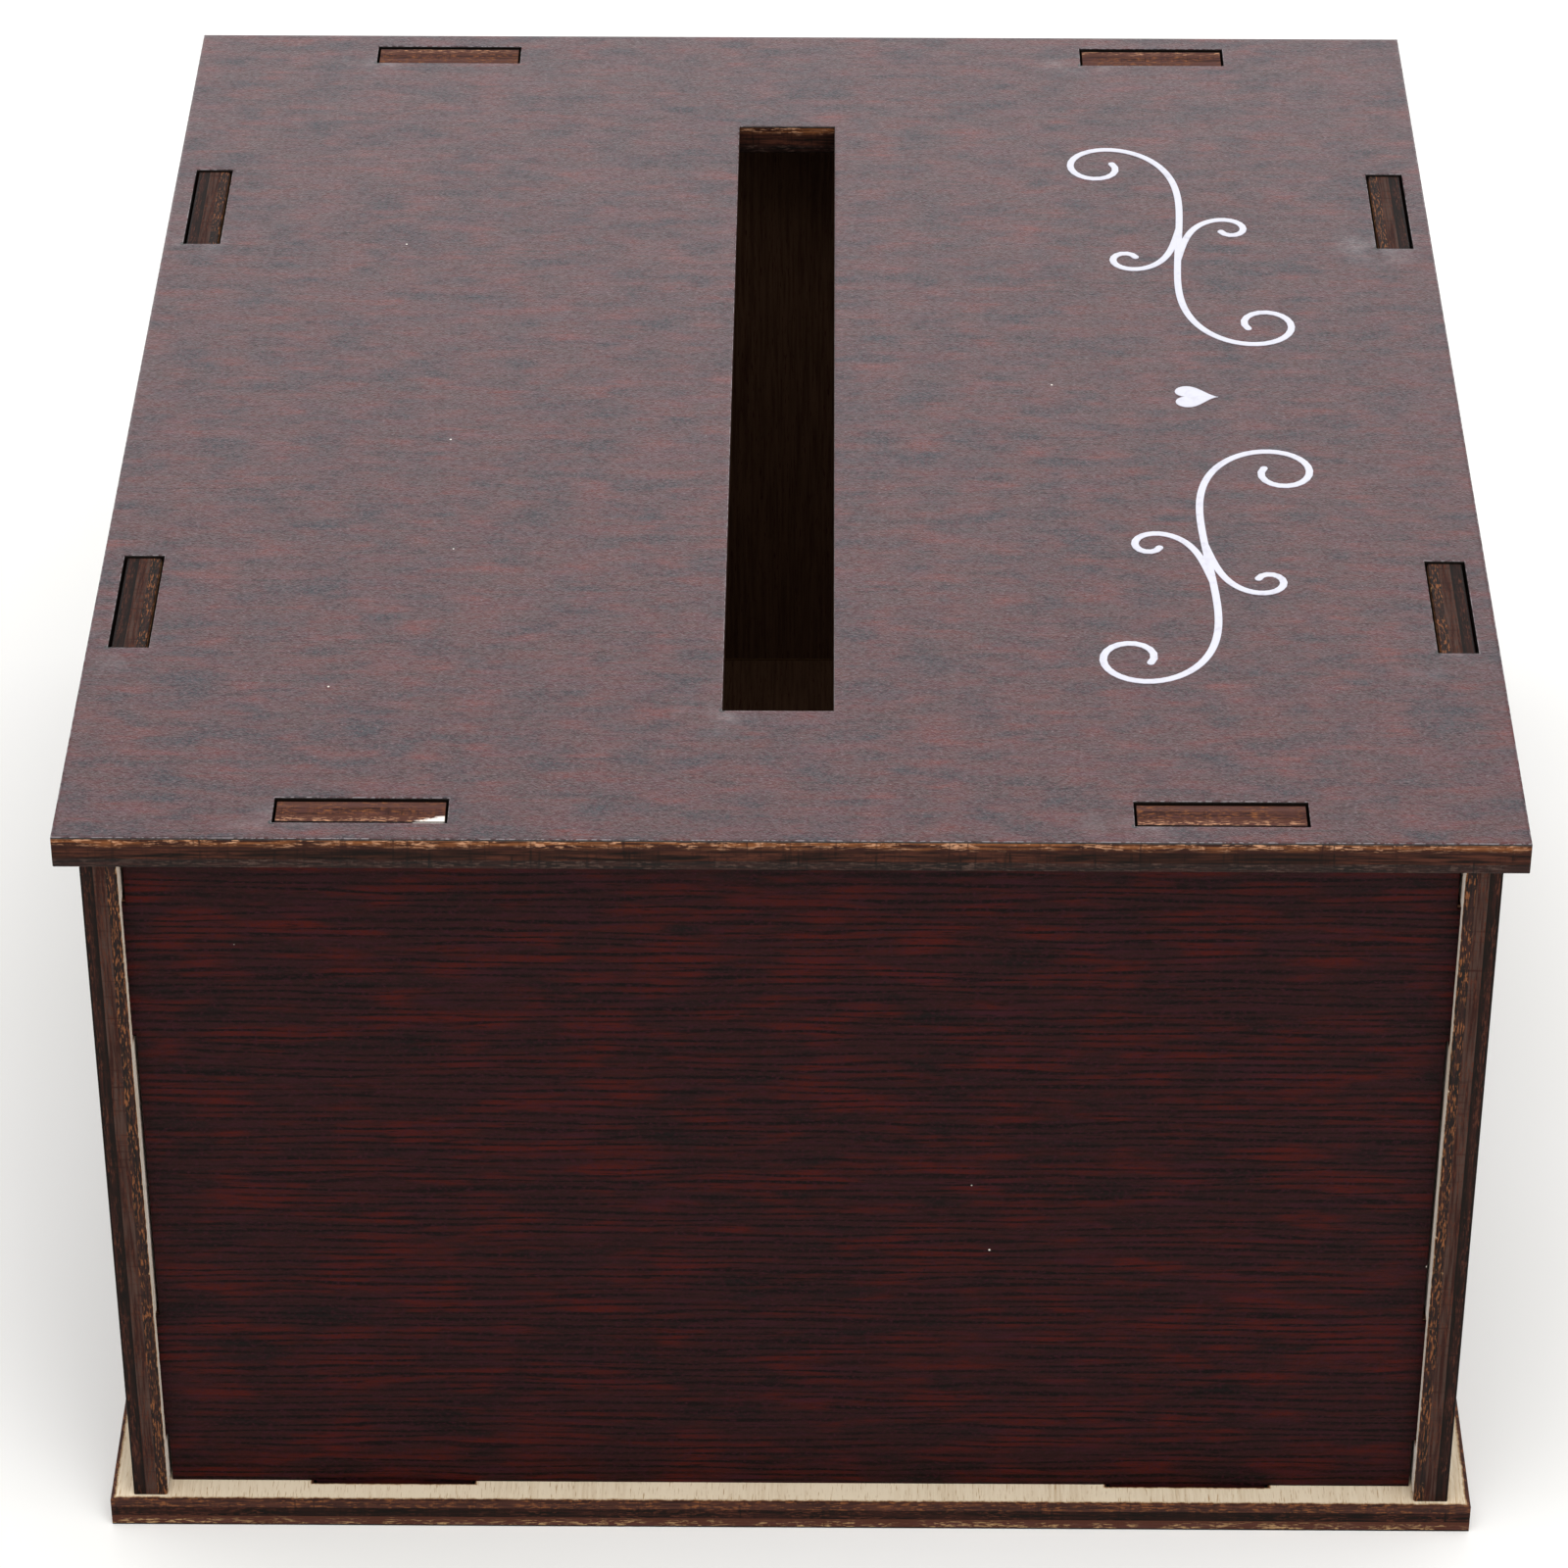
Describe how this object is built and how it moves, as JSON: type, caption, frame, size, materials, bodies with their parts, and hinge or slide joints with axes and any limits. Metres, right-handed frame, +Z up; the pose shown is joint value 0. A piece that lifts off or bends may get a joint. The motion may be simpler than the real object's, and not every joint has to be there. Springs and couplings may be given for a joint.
{
  "type": "wedding card box",
  "caption": "Tabbed plywood card box with a dark wood-grain film, a lid that lifts off and a long slot in the lid for dropping in cards.",
  "frame": {"origin": "middle of the underside of the base, on the table", "axes": "+X along the card slot and the longest side, +Y from the front wall (the side the print is read from) to the back wall, +Z up"},
  "size_m": [0.23, 0.2, 0.1251],
  "materials": {
    "decor_film": "satin dark red-brown wood-grain decor film",
    "face_veneer": "outer plywood veneer, laser-browned on its cut edges",
    "core_veneer": "cross-grained core veneer, laser-scorched on its cut edges",
    "bare_veneer": "bare pale basswood veneer, fine sanded, scorched on its cut edges",
    "white_ink": "screen-printed matt white ink"
  },
  "bodies": {
    "box": {"base_film": "decor_film", "base_outer_ply": "face_veneer", "base_core_ply": "core_veneer", "base_inner_ply": "bare_veneer", "front_film": "decor_film", "front_outer_ply": "face_veneer", "front_core_ply": "core_veneer", "front_inner_ply": "bare_veneer", "back_film": "decor_film", "back_outer_ply": "face_veneer", "back_core_ply": "core_veneer", "back_inner_ply": "bare_veneer", "left_film": "decor_film", "left_outer_ply": "face_veneer", "left_core_ply": "core_veneer", "left_inner_ply": "bare_veneer", "right_film": "decor_film", "right_outer_ply": "face_veneer", "right_core_ply": "core_veneer", "right_inner_ply": "bare_veneer"},
    "lid": {"lid_film": "decor_film", "lid_outer_ply": "face_veneer", "lid_core_ply": "core_veneer", "lid_inner_ply": "bare_veneer", "printed_flourish": "white_ink", "printed_heart": "white_ink"}
  },
  "joints": [
    {"name": "lid_lift", "type": "slide", "parent": "box", "child": "lid", "axis": [0, 0, 1], "range_m": [0, 0.15]}
  ]
}
